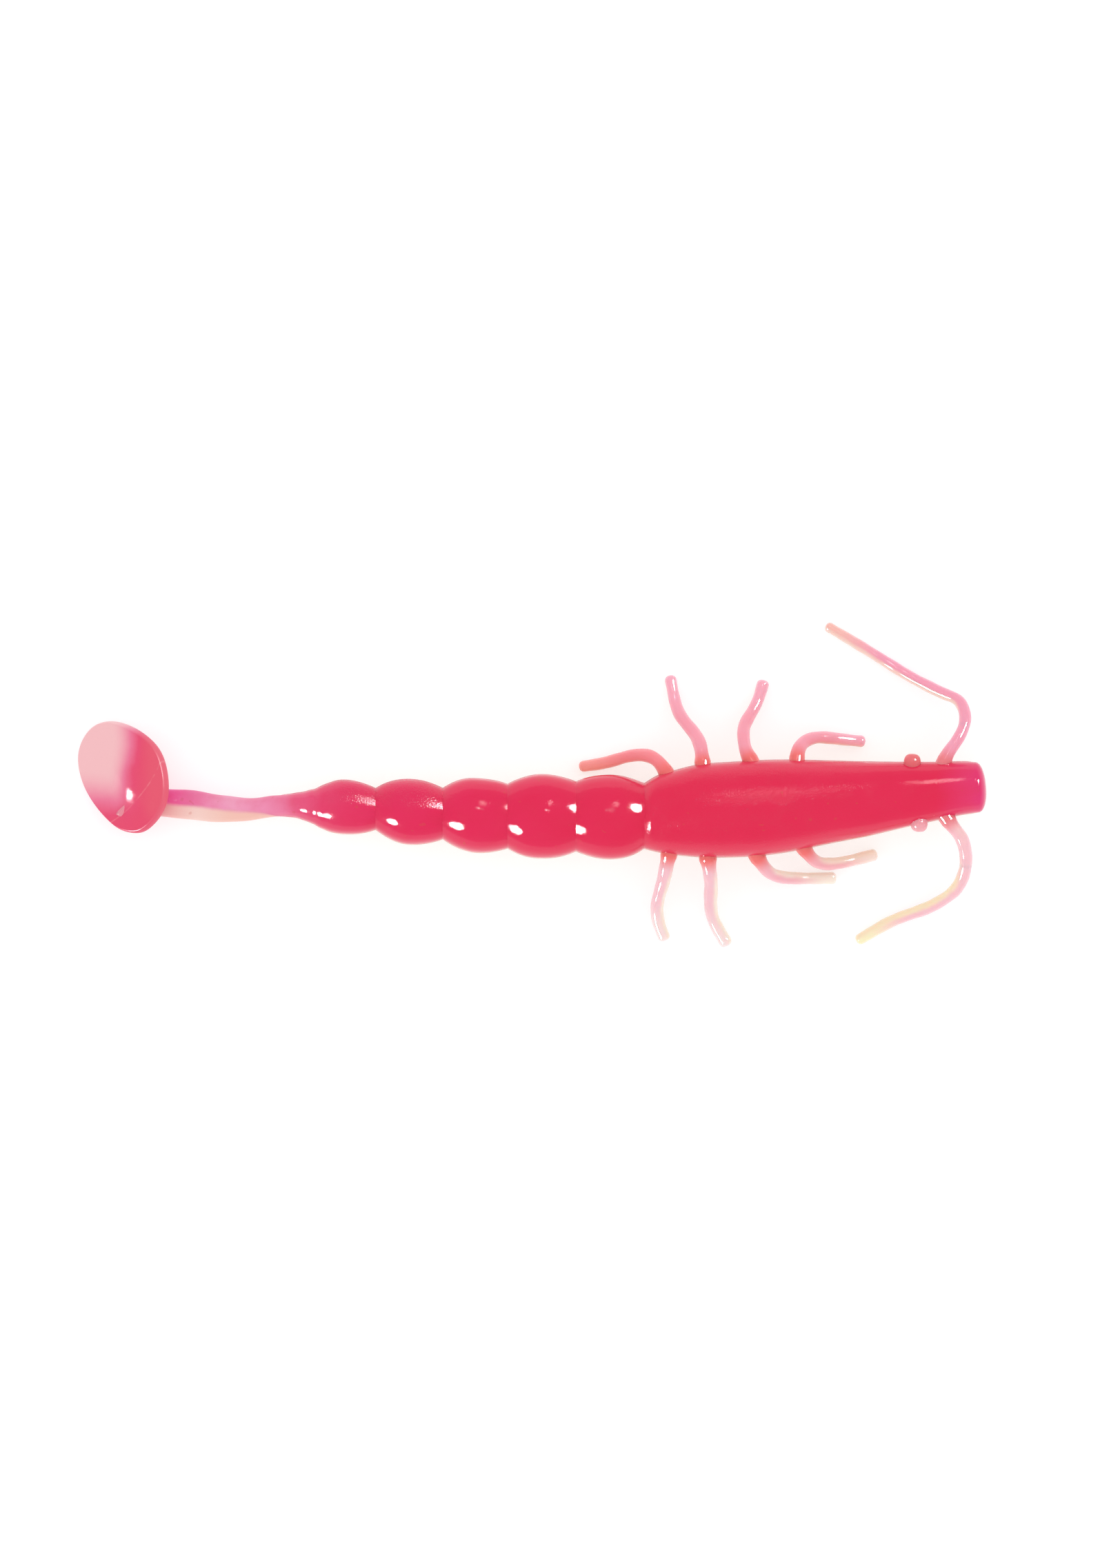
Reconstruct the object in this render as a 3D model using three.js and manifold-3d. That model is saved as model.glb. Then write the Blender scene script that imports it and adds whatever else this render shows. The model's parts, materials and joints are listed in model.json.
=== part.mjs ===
// Soft plastic lure: a segmented, paddle-tailed creature bait lying on its belly.
// Millimetres, +Z up (the lure's back), +X towards the nose, +Y the lure's left side.
// The origin is the centre of the flat nose face.
import * as THREE from "three";
import { mergeVertices } from "three/addons/utils/BufferGeometryUtils.js";
import Module from "manifold-3d";

const wasm = await Module();
wasm.setup();

// ---- driving dimensions ----
const LAMINATE_GAP = 0.03; // half the gap between the red back and the cream belly
const THORAX_Z = -0.3; // laminate plane of the head and thorax
const HEIGHT_RATIO = 0.95; // body height over body width
const HINGE_GAP = 0.12; // from a flex centre to the tip of each facing cone
const CONE_ANGLE = 12.8; // slope of a facing end cone, in degrees
const BALL_RATIO = 0.8; // waist core radius over neck radius
const CLEARANCE = 0.12; // running gap round every ball and root
const ARC_STEPS = 10; // facets over the half circle of a body section
const LIMB_SIDES = 8;

const COLOUR = {
  back: 0xe6345a,
  belly: 0xf6c9a8,
  core: 0xe8506e,
  leg: 0xf2a8b4,
  feeler: 0xf8ccc4,
  paddle: 0xf08ca0,
};

// Head and thorax: x, left edge y, right edge y, half height, section yaw in degrees.
const THORAX = [
  [0, 1.55, -1.55, 1.5, 4.5],
  [-0.35, 1.98, -1.95, 1.9, 4.5],
  [-0.9, 2.12, -2.1, 2.05, 4.5],
  [-2.4, 2.12, -2.35, 2.15, 4],
  [-5, 2.1, -2.85, 2.38, 4],
  [-7.6, 2.1, -3.42, 2.68, 4],
  [-10.1, 2.1, -4.0, 2.95, 3.5],
  [-12.9, 2.2, -4.58, 3.28, 3],
  [-15.6, 2.25, -5.2, 3.55, 2],
  [-18.6, 2.2, -5.6, 3.72, 1],
  [-21.5, 2.06, -5.76, 3.75, 0],
  [-24.2, 1.8, -5.7, 3.62, 0],
  [-25.9, 1.33, -5.5, 3.3, 0],
];
// Necks, the flex lines between the lobes: x, y, z of the centre, and half width.
const NECKS = [
  [-28.2, -2.35, -0.3, 2.65],
  [-33.85, -2.42, -0.5, 2.87],
  [-39.5, -2.38, -0.68, 2.62],
  [-44.85, -2.15, -0.95, 2.1],
  [-50.4, -1.8, -1.28, 1.68],
];
// Widest section of each abdomen lobe: x, left edge y, right edge y, z of the centre.
const CRESTS = [
  [-31.1, 1.0, -5.9, -0.4],
  [-36.6, 1.05, -5.85, -0.6],
  [-42.1, 0.75, -5.35, -0.8],
  [-47.5, 0.65, -4.7, -1.1],
  [-53.0, 0.6, -3.85, -1.4],
];
// The last lobe runs down into the tail stem: x, left edge, right edge, z, half height.
const TAPER = [
  [-54.2, 0.38, -3.6, -1.5, 1.9],
  [-55.3, 0, -3.18, -1.6, 1.6],
  [-56.2, -0.33, -2.72, -1.68, 1.35],
];
// Tail stem, a blade with a quarter twist: x, y, z, half width, half height, roll degrees.
const STEM_ROOT = [-57.45, -1.47, -1.75, 0.93, 1.15, 4];
const STEM_MID = [-62.4, -1.79, -2.1, 0.78, 1.07, 85];
const STEM_FRONT = [
  [-58.6, -1.55, -1.83, 0.85, 1.02, 30],
  [-59.5, -1.67, -1.9, 0.84, 0.93, 58],
  [-60.5, -1.8, -1.97, 0.81, 0.92, 74],
  [-61.4, -1.82, -2.03, 0.79, 0.99, 81],
];
const STEM_REAR = [
  [-63.6, -1.72, -2.18, 0.75, 1.14, 88],
  [-65, -1.53, -2.25, 0.73, 1.21, 90],
  [-66.5, -1.37, -2.31, 0.72, 1.19, 90],
  [-67.75, -1.27, -2.35, 0.7, 1.05, 90],
];
// Tail paddle: outline in plan, tilt of its face, and the ball it turns on.
const PADDLE_TILT = 28;
const PADDLE_CENTRE = [-71.3, 0.85, -1.62];
const PADDLE_OUTLINE = [
  [-72.6, 5.47], [-71.4, 5.22], [-70, 4.55], [-68.7, 3.5], [-67.95, 2.1],
  [-67.65, 0.4], [-67.75, -1.1], [-68.3, -2.4], [-69.3, -3.45], [-70.3, -3.78],
  [-71.5, -3.5], [-72.6, -2.6], [-73.6, -1.4], [-74.5, 0.2], [-74.95, 2.0],
  [-74.75, 3.6], [-73.85, 4.95],
];
const ANKLE = [-68.72, -1.26, -2.35];
const ANKLE_RADIUS = 0.72;

// Legs and feelers: path from the root ball to the tip, root and tip radius.
const LEGS = {
  left_leg_1: [[[-26.45, 1.3, -0.5], [-26.9, 1.95, -0.75], [-27.6, 2.5, -1.2],
    [-28.5, 2.68, -1.8], [-29.6, 2.55, -2.4], [-31.2, 2.1, -3.0],
    [-33.15, 1.76, -3.35]], 0.56, 0.5],
  left_leg_2: [[[-23.4, 2.1, -0.5], [-23.5, 3.0, -0.75], [-23.8, 4.0, -1.3],
    [-24.5, 5.0, -1.95], [-25.3, 6.1, -2.6], [-25.7, 7.3, -3.1],
    [-26.0, 8.8, -3.4]], 0.58, 0.5],
  left_leg_3: [[[-19.5, 2.35, -0.5], [-19.8, 3.0, -0.7], [-20.0, 4.0, -1.2],
    [-19.95, 5.0, -1.9], [-19.45, 6.0, -2.6], [-18.9, 7.0, -3.1],
    [-18.4, 8.5, -3.4]], 0.56, 0.5],
  left_leg_4: [[[-15.6, 2.45, -0.5], [-15.5, 3.0, -0.7], [-15.1, 3.65, -1.15],
    [-14.1, 4.1, -1.8], [-13, 4.1, -2.4], [-11.6, 3.95, -3.0],
    [-10.3, 3.82, -3.35]], 0.56, 0.5],
  right_leg_1: [[[-26.2, -5.65, -0.5], [-26.4, -6.6, -0.75], [-26.65, -7.8, -1.4],
    [-27.0, -9.0, -2.1], [-27.15, -10.1, -2.8], [-27.0, -11.2, -3.2],
    [-26.6, -12.3, -3.4]], 0.6, 0.53],
  right_leg_2: [[[-22.95, -5.95, -0.5], [-22.8, -7.0, -0.75], [-22.7, -8.0, -1.4],
    [-22.72, -9.4, -2.3], [-22.55, -10.7, -2.95], [-22.0, -11.9, -3.3],
    [-21.5, -12.75, -3.4]], 0.6, 0.53],
  right_leg_3: [[[-18.8, -5.85, -0.5], [-18.45, -6.4, -0.75], [-17.9, -7.0, -1.2],
    [-17.0, -7.38, -1.9], [-15.9, -7.5, -2.6], [-14.4, -7.52, -3.15],
    [-12.7, -7.5, -3.4]], 0.56, 0.5],
  right_leg_4: [[[-14.9, -5.2, -0.5], [-14.55, -5.65, -0.7], [-13.95, -6.15, -1.15],
    [-13.1, -6.32, -1.75], [-12.2, -6.26, -2.4], [-10.8, -5.98, -3.05],
    [-9.3, -5.6, -3.35]], 0.54, 0.5],
};
const FEELERS = {
  left_feeler: {
    base: [[-3.42, 2.3, 0], [-3.1, 2.9, 0], [-2.6, 3.6, -0.1], [-2.05, 4.5, -0.4],
      [-1.72, 5.6, -0.9], [-1.85, 6.5, -1.4], [-2.3, 7.2, -1.8]],
    tip: [[-2.3, 7.2, -1.8], [-3.2, 7.65, -2.2], [-4.6, 8.3, -2.7], [-6.2, 9.15, -3.1],
      [-8, 10.25, -3.35], [-10, 11.5, -3.5], [-12.85, 13.2, -3.55]],
    radii: [0.52, 0.5, 0.44],
  },
  right_feeler: {
    base: [[-3.1, -2.75, 0], [-2.7, -3.3, 0], [-2.1, -4.1, -0.15], [-1.72, -5.2, -0.5],
      [-1.66, -6.3, -1.0], [-1.9, -7.4, -1.55], [-2.5, -8.45, -2.0]],
    tip: [[-2.5, -8.45, -2.0], [-3.4, -9.2, -2.45], [-4.7, -9.92, -2.85],
      [-6.2, -10.47, -3.15], [-7.8, -11.1, -3.3], [-9, -11.75, -3.38],
      [-10.3, -12.52, -3.42]],
    radii: [0.56, 0.54, 0.48],
  },
};
const EYES = { left_eye: [-6.1, 2.3, 0.35], right_eye: [-5.55, -3.2, 0.35] };
const EYE_RADIUS = 0.6;

// ---- helpers ----
const rad = THREE.MathUtils.degToRad;
const vec = (p) => new THREE.Vector3(...p);
const spread = (count, make) => Array.from({ length: count }, (_, i) => make(i));

// Closed triangle mesh from points and faces, turned to face outwards.
function closed(points, faces) {
  let volume = 0;
  const cross = new THREE.Vector3();
  for (const [a, b, c] of faces)
    volume += points[a].dot(cross.crossVectors(points[b], points[c]));
  const turned = volume < 0 ? faces.map(([a, b, c]) => [a, c, b]) : faces;
  const geometry = new THREE.BufferGeometry().setFromPoints(points);
  geometry.setIndex(turned.flat());
  return geometry;
}

// Skin over equal rings. Each end is a fan: from ring point `hub`, or from a middle point.
function loft(rings, hub = null) {
  const count = rings[0].length;
  const points = rings.flat();
  const faces = [];
  for (let r = 0; r + 1 < rings.length; r++)
    for (let i = 0; i < count; i++) {
      const a = r * count + i;
      const b = r * count + ((i + 1) % count);
      faces.push([a, b, b + count], [a, b + count, a + count]);
    }
  for (const [ring, flip] of [[0, true], [rings.length - 1, false]]) {
    const start = ring * count;
    let centre = hub === null ? points.length : start + hub;
    if (hub === null) {
      const middle = new THREE.Vector3();
      rings[ring].forEach((p) => middle.addScaledVector(p, 1 / count));
      points.push(middle);
    }
    for (let i = 0; i < count; i++) {
      const a = start + i;
      const b = start + ((i + 1) % count);
      if (a === centre || b === centre) continue;
      faces.push(flip ? [centre, b, a] : [centre, a, b]);
    }
  }
  return closed(points, faces);
}

// Half section of the body: an arc over the back (side 1) or the belly (side -1), closed
// along the laminate plane. `reach` pushes the middle point out to make the end a cone.
function halfRing({ at, wide, high, yaw, roll = 0, reach = 0 }, side) {
  const forward = new THREE.Vector3(Math.cos(rad(yaw)), Math.sin(rad(yaw)), 0);
  const lateral = new THREE.Vector3(-forward.y, forward.x, 0);
  const up = new THREE.Vector3(0, 0, 1);
  const across = lateral.clone().multiplyScalar(Math.cos(rad(roll)));
  across.addScaledVector(up, -Math.sin(rad(roll)));
  const back = up.clone().multiplyScalar(Math.cos(rad(roll)));
  back.addScaledVector(lateral, Math.sin(rad(roll)));
  const lift = side * LAMINATE_GAP;
  const ring = spread(ARC_STEPS + 1, (i) => {
    const angle = (Math.PI * i) / ARC_STEPS;
    return at
      .clone()
      .addScaledVector(across, wide * Math.cos(angle))
      .addScaledVector(back, lift + side * high * Math.sin(angle));
  });
  ring.push(at.clone().addScaledVector(back, lift).addScaledVector(forward, reach));
  return ring;
}

const halfBody = (stations, side) =>
  loft(stations.map((s) => halfRing(s, side)), ARC_STEPS + 1);

function toSolid(geometry) {
  const position = geometry.getAttribute("position");
  const mesh = new wasm.Mesh({
    numProp: 3,
    vertProperties: new Float32Array(position.array),
    triVerts: new Uint32Array(geometry.index.array),
  });
  mesh.merge();
  return new wasm.Manifold(mesh);
}

function toGeometry(solid) {
  const mesh = solid.getMesh();
  const geometry = new THREE.BufferGeometry();
  geometry.setAttribute("position", new THREE.BufferAttribute(mesh.vertProperties, 3));
  geometry.setIndex(new THREE.BufferAttribute(mesh.triVerts, 1));
  return geometry;
}

function ball(centre, radius) {
  const geometry = new THREE.SphereGeometry(radius, 14, 10);
  geometry.deleteAttribute("normal");
  geometry.deleteAttribute("uv");
  return mergeVertices(geometry.rotateX(0.3).rotateZ(0.5).translate(...centre), 1e-4);
}

// Takes every ball [centre, radius] out of a geometry.
function dimpled(geometry, balls) {
  let solid = toSolid(geometry);
  for (const [centre, radius] of balls) solid = solid.subtract(toSolid(ball(centre, radius)));
  return toGeometry(solid);
}

// Round limb along a smooth path, with a ball at its root and a blunt or rounded tip.
function limb(path, rootRadius, tipRadius, steps = 9) {
  const curve = new THREE.CatmullRomCurve3(path.map(vec), false, "centripetal");
  const { tangents, normals, binormals } = curve.computeFrenetFrames(steps);
  const ringAt = (k, along, radius) =>
    spread(LIMB_SIDES, (i) => {
      const angle = (2 * Math.PI * i) / LIMB_SIDES;
      return curve
        .getPointAt(k / steps)
        .addScaledVector(tangents[k], along)
        .addScaledVector(normals[k], radius * Math.cos(angle))
        .addScaledVector(binormals[k], radius * Math.sin(angle));
    });
  const radiusAt = (k) => rootRadius + ((tipRadius - rootRadius) * k) / steps;
  const rings = [75, 45, 20].map((degrees) =>
    ringAt(0, -rootRadius * Math.sin(rad(degrees)), rootRadius * Math.cos(rad(degrees))),
  );
  for (let k = 0; k <= steps; k++) rings.push(ringAt(k, 0, radiusAt(k)));
  rings.push(ringAt(steps, 0.3 * tipRadius, 0.86 * tipRadius));
  rings.push(ringAt(steps, 0.5 * tipRadius, 0.5 * tipRadius));
  return loft(rings);
}

// ---- the assembly ----
const lure = new THREE.Group();
lure.name = "soft_plastic_lure";

function add(name, geometry, colour) {
  const material = new THREE.MeshStandardMaterial({ color: colour, roughness: 0.25 });
  const mesh = new THREE.Mesh(geometry, material);
  mesh.name = name;
  lure.add(mesh);
}

// A body part is a red back and a cream belly, split along the laminate plane.
function addHalves(name, stations, balls) {
  for (const [half, side] of [["back", 1], ["belly", -1]])
    add(`${name}_${half}`, dimpled(halfBody(stations, side), balls), COLOUR[half]);
}

// Axial distance from a flex centre to the end ring of a cone that meets a section.
const coneReach = (radius, flare) =>
  (HINGE_GAP + radius * Math.tan(rad(CONE_ANGLE))) / (1 - flare * Math.tan(rad(CONE_ANGLE)));
const socket = ([x, y, z, radius]) => [[x, y, z], radius * BALL_RATIO + CLEARANCE];

// Sections of one flank, from the crest of a lobe to the cone beside its neck.
function flank(crest, neck) {
  const [cx, left, right, cz] = crest;
  const [nx, ny, nz, neckWide] = neck;
  const crestWide = (left - right) / 2;
  const crestY = (left + right) / 2;
  const length = nx - cx;
  const reach = coneReach(neckWide, (2 * (crestWide - neckWide)) / Math.abs(length));
  const last = 1 - reach / Math.abs(length);
  return [0.4, 0.75, last].map((t) => {
    const wide = crestWide - (crestWide - neckWide) * t * t;
    const at = vec([cx + length * t, crestY + (ny - crestY) * t, cz + (nz - cz) * t]);
    const tip = t === last ? Math.sign(length) * (reach - HINGE_GAP) : 0;
    return { at, wide, high: wide * HEIGHT_RATIO, yaw: 0, reach: tip };
  });
}

// Head and thorax, from the flat nose face to the first neck.
const thoraxStations = THORAX.map(([x, left, right, high, yaw]) => ({
  at: vec([x, (left + right) / 2, 0.02 * Math.min(x + 14, 0)]),
  wide: (left - right) / 2,
  high,
  yaw,
}));
{
  const [nx, ny, nz, wide] = NECKS[0];
  const reach = coneReach(wide, 0.45);
  const edge = wide + 0.45 * reach;
  thoraxStations.push({
    at: vec([nx + reach, ny + 0.12, nz + 0.02]),
    wide: edge,
    high: edge * HEIGHT_RATIO,
    yaw: 0,
    reach: HINGE_GAP - reach,
  });
}
const limbRoots = Object.values(LEGS).map(([path, radius]) => [path[0], radius]);
for (const { base, radii } of Object.values(FEELERS)) limbRoots.push([base[0], radii[0]]);
for (const centre of Object.values(EYES)) limbRoots.push([centre, EYE_RADIUS]);
const rootDimples = limbRoots.map(([centre, radius]) => [centre, radius + CLEARANCE]);
addHalves("head_thorax", thoraxStations, [...rootDimples, socket(NECKS[0])]);

// Abdomen lobes, each between two necks. The last one tapers to the tail stem.
const hingeOf = ([x, y, z, wide, high, roll]) => ({ at: vec([x, y, z]), wide, high, roll });
function stemEnd(hinge, direction) {
  const { at, wide, high, roll } = hingeOf(hinge);
  const reach = coneReach(Math.max(wide, high), 0);
  const moved = at.clone().add(new THREE.Vector3(direction * reach, 0, 0));
  return { at: moved, wide, high, roll, yaw: 0, reach: direction * (HINGE_GAP - reach) };
}
const stemStation = ([x, y, z, wide, high, roll]) => ({
  at: vec([x, y, z]), wide, high, yaw: 0, roll,
});

CRESTS.forEach((crest, i) => {
  const [x, left, right, z] = crest;
  const wide = (left - right) / 2;
  const middle = {
    at: vec([x, (left + right) / 2, z]), wide, high: wide * HEIGHT_RATIO, yaw: 0,
  };
  const front = flank(crest, NECKS[i]).reverse();
  const next = NECKS[i + 1];
  const rear = next
    ? flank(crest, next)
    : TAPER.map(([tx, tl, tr, tz, high]) => ({
        at: vec([tx, (tl + tr) / 2, tz]), wide: (tl - tr) / 2, high, yaw: 0,
      })).concat(stemEnd(STEM_ROOT, 1));
  const sockets = [socket(NECKS[i])].concat(next ? [socket(next)] : []);
  addHalves(`segment_${i + 1}`, [...front, middle, ...rear], sockets);
});

// Waist cores: the flexing plastic inside each neck.
NECKS.forEach(([x, y, z, wide], i) => {
  add(`waist_${i + 1}`, ball([x, y, z], wide * BALL_RATIO), COLOUR.core);
});

// Tail stem in two lengths, each with its pink side and its cream side.
const stemFront = [stemEnd(STEM_ROOT, -1), ...STEM_FRONT.map(stemStation), stemEnd(STEM_MID, 1)];
const stemRear = [stemEnd(STEM_MID, -1), ...STEM_REAR.map(stemStation)];
addHalves("stem_front", stemFront, []);
addHalves("stem_rear", stemRear, [[ANKLE, ANKLE_RADIUS + CLEARANCE]]);

// Paddle: a tilted, slightly domed lens, thick over the ankle and thin at the far edge.
{
  const tilt = rad(PADDLE_TILT);
  const along = new THREE.Vector3(Math.cos(tilt), 0, Math.sin(tilt));
  const across = new THREE.Vector3(0, 1, 0);
  const normal = new THREE.Vector3(-Math.sin(tilt), 0, Math.cos(tilt));
  const [px, py] = PADDLE_CENTRE;
  const rim = new THREE.CatmullRomCurve3(
    PADDLE_OUTLINE.map(([x, y]) => new THREE.Vector3((x - px) / Math.cos(tilt), y - py, 0)),
    true,
    "centripetal",
  ).getSpacedPoints(32);
  rim.pop();
  const thickness = (u, v) => {
    const ridge = Math.exp(-(((u - 1.2 + 0.08 * v * v) / 1.7) ** 2));
    return 0.95 + 0.85 * ridge;
  };
  const layer = (scale, share) =>
    rim.map((p) => {
      const u = p.x * scale;
      const v = p.y * scale;
      const dome = 0.28 * (1 - scale * scale);
      const level = 0.35 + dome - share * thickness(u, v);
      return vec(PADDLE_CENTRE)
        .addScaledVector(along, u)
        .addScaledVector(across, v)
        .addScaledVector(normal, level);
    });
  const lens = loft([
    layer(0.35, 0), layer(0.7, 0), layer(0.93, 0.02), layer(0.985, 0.15), layer(1, 0.45),
    layer(0.985, 0.82), layer(0.93, 0.98), layer(0.7, 1), layer(0.35, 1),
  ]);
  const stalk = limb(
    [ANKLE, [-69.4, -1.22, -2.2], [-70.1, -1.1, -1.75], [-70.7, -0.9, -1.3]],
    ANKLE_RADIUS, 0.8, 5,
  );
  add("tail_paddle", toGeometry(toSolid(lens).add(toSolid(stalk))), COLOUR.paddle);
}

// Legs, feelers and eye nubs.
for (const [name, [path, rootRadius, tipRadius]] of Object.entries(LEGS))
  add(name, limb(path, rootRadius, tipRadius), COLOUR.leg);
for (const [name, { base, tip, radii }] of Object.entries(FEELERS)) {
  const [rootRadius, elbowRadius, tipRadius] = radii;
  const elbow = [tip[0], elbowRadius + CLEARANCE];
  const upper = limb(base, rootRadius, elbowRadius + 0.02);
  add(`${name}_base`, dimpled(upper, [elbow]), COLOUR.feeler);
  add(`${name}_tip`, limb(tip, elbowRadius, tipRadius), COLOUR.feeler);
}
for (const [name, centre] of Object.entries(EYES))
  add(name, ball(centre, EYE_RADIUS), COLOUR.back);

export default lure;
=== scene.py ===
import json
import math

import bpy
import numpy as np
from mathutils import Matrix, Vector


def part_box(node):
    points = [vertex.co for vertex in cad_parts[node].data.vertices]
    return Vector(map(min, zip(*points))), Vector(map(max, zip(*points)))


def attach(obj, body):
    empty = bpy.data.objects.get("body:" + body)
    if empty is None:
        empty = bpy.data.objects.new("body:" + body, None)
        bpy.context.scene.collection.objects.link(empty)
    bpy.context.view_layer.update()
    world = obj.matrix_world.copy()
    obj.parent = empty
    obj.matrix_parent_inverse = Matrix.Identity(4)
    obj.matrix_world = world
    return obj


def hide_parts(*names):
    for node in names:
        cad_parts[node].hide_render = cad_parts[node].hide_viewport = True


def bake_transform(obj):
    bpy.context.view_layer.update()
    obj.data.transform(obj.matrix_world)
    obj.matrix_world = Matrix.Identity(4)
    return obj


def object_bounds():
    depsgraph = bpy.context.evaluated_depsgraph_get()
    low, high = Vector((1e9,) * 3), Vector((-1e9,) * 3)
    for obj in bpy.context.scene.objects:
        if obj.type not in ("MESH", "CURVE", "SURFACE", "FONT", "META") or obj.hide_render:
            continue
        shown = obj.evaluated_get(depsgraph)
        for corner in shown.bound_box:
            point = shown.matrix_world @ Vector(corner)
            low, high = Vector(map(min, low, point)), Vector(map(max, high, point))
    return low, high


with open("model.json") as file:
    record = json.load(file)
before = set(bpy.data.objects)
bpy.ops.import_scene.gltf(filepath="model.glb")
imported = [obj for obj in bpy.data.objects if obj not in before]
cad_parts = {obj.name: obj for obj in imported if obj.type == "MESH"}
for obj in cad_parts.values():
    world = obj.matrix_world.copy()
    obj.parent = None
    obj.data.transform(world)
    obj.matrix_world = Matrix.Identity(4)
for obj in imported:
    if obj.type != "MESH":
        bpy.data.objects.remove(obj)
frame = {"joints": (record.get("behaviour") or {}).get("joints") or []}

CAD_BOX = [[float(c) for c in corner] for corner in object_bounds()]
MM = 0.001  # lengths below are in millimetres, and meshes in metres
RNG = np.random.default_rng(7)
WORLD = 1.12  # strength of the diffuse studio light, which srgb() allows for
FLOOR_Z = CAD_BOX[0][2]
BODY_AROUND = 112  # points round a section of the body
STEM_AROUND = 80  # points round a section of the stem
BODY_STEP = 0.09  # distance between sections of the rings and the stem
THORAX_STEP = 0.16  # distance between sections of the thorax
HEIGHT_SHARE = 0.95  # height of a body section over its width
LIMB_AROUND = 40  # points round a section of the legs, the feelers and the eyes
LIMB_STEP = 0.1  # distance between sections of the legs, the feelers, the eyes and the ankle

# ---------------------------------------------------------------- curves and grids


def spline(xs, ys, slopes=(None, None)):
    """Smooth cubic curve through the points, with natural or given end slopes."""
    x, y = np.array(xs, float), np.array(ys, float)
    order = np.argsort(x)
    x, y = x[order], y[order]
    n, h = len(x), np.diff(x)
    a, b = np.zeros((n, n)), np.zeros(n)
    for i in range(1, n - 1):
        a[i, i - 1 : i + 2] = h[i - 1], 2 * (h[i - 1] + h[i]), h[i]
        b[i] = 6 * ((y[i + 1] - y[i]) / h[i] - (y[i] - y[i - 1]) / h[i - 1])
    for row, slope, k in ((0, slopes[0], 0), (n - 1, slopes[1], n - 2)):
        a[row, row] = 1
        if slope is not None:
            a[row, k], a[row, k + 1] = (2, 1) if row == 0 else (1, 2)
            rise = (y[k + 1] - y[k]) / h[k]
            b[row] = 6 * (rise - slope if row == 0 else slope - rise) / h[k]
    m = np.linalg.solve(a, b)

    def at(q):
        q = np.asarray(q, float)
        i = np.clip(np.searchsorted(x, q) - 1, 0, n - 2)
        u, v = x[i + 1] - q, q - x[i]
        return (
            m[i] * u**3 / (6 * h[i])
            + m[i + 1] * v**3 / (6 * h[i])
            + (y[i] / h[i] - m[i] * h[i] / 6) * u
            + (y[i + 1] / h[i] - m[i + 1] * h[i] / 6) * v
        )

    return at


def smooth(t, low=0.0, high=1.0):
    """Eases from 0 at low to 1 at high."""
    t = np.clip((np.asarray(t, float) - low) / (high - low), 0, 1)
    return t * t * (3 - 2 * t)


def unit(v):
    v = np.asarray(v, float)
    return v / np.linalg.norm(v, axis=-1, keepdims=True)


def grid_piece(name, rings, facts, caps=(True, True)):
    """Mesh from rings (rows x around x 3), closed around, with its vertex facts.

    Each end is closed if its cap is true. A "sharp" cap meets its wall at a sharp edge, so that the wall's
    shading runs straight on into the next piece.
    """
    rows, around = rings.shape[:2]
    verts = [rings.reshape(-1, 3)]
    values = {k: [np.broadcast_to(v, (rows, around)).reshape(-1)] for k, v in facts.items()}
    index = np.arange(rows * around).reshape(rows, around)
    nxt = np.roll(index, -1, axis=1)
    faces = np.stack([index[:-1], nxt[:-1], nxt[1:], index[1:]], -1).reshape(-1, 4).tolist()
    count = rows * around
    for end, wanted in ((0, caps[0]), (rows - 1, caps[1])):
        if not wanted:
            continue
        verts.append(rings[end].mean(0)[None])
        for k in values:
            values[k].append(np.array([values[k][0].reshape(rows, around)[end].mean()]))
        edge = index[end]
        for a, b in zip(edge, np.roll(edge, -1)):
            faces.append([int(b), int(a), count] if end == 0 else [int(a), int(b), count])
        count += 1
    points = np.concatenate(verts)
    mesh = bpy.data.meshes.new(name)
    mesh.from_pydata((points * MM).tolist(), [], faces)
    mesh.update()
    # Faces look outwards whichever way round the rings were listed.
    middle = points.mean(0) * MM
    outward = sum(p.area * (np.array(p.center) - middle).dot(np.array(p.normal)) for p in mesh.polygons)
    if outward < 0:
        mesh.flip_normals()
    mesh.polygons.foreach_set("use_smooth", [True] * len(mesh.polygons))
    ends = np.array([e.vertices[:] for e in mesh.edges])
    row_of = np.where(ends < rows * around, ends // around, -1)
    on_cap = np.zeros(len(ends), bool)
    for end, sharp in ((0, caps[0] == "sharp"), (rows - 1, caps[1] == "sharp")):
        if sharp:
            on_cap |= (row_of == end).all(1)
    mesh.attributes.new("sharp_edge", "BOOLEAN", "EDGE").data.foreach_set("value", on_cap)
    rest = mesh.attributes.new("rest", "FLOAT_VECTOR", "POINT")
    rest.data.foreach_set("vector", points.astype(np.float32).ravel())
    for k, parts in values.items():
        layer = mesh.attributes.new(k, "FLOAT", "POINT")
        layer.data.foreach_set("value", np.concatenate(parts).astype(np.float32))
    obj = bpy.data.objects.new(name, mesh)
    bpy.context.scene.collection.objects.link(obj)
    return obj


# ---------------------------------------------------------------- facts from the frame

JOINT = {j["name"]: np.array(j["pos_m"], float) / MM for j in frame["joints"] if "pos_m" in j}


def node_box(*nodes):
    """Lowest and highest corner in mm of the box round some CAD nodes."""
    boxes = [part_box(n) for n in nodes]
    low = np.min([np.array(b[0]) for b in boxes], 0) / MM
    high = np.max([np.array(b[1]) for b in boxes], 0) / MM
    return low, high


NECKS = [JOINT[f"neck_{i}_yaw"] for i in range(1, 6)]
STEM_ROOT, STEM_MID, ANKLE = JOINT["stem_root"], JOINT["stem_mid"], JOINT["ankle"]
NECK_HALF = [2.65, 2.87, 2.62, 2.1, 1.68]  # half the width of the body at each neck
CREST_X = [-31.1, -36.6, -42.1, -47.5, -53.0]  # where each ring is widest
CRESTS = []  # x, left edge, right edge and middle height of each ring
for i, x in enumerate(CREST_X):
    low, high = node_box(f"segment_{i + 1}_back", f"segment_{i + 1}_belly")
    CRESTS.append((x, high[1], low[1], (low[2] + high[2]) / 2))

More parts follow.
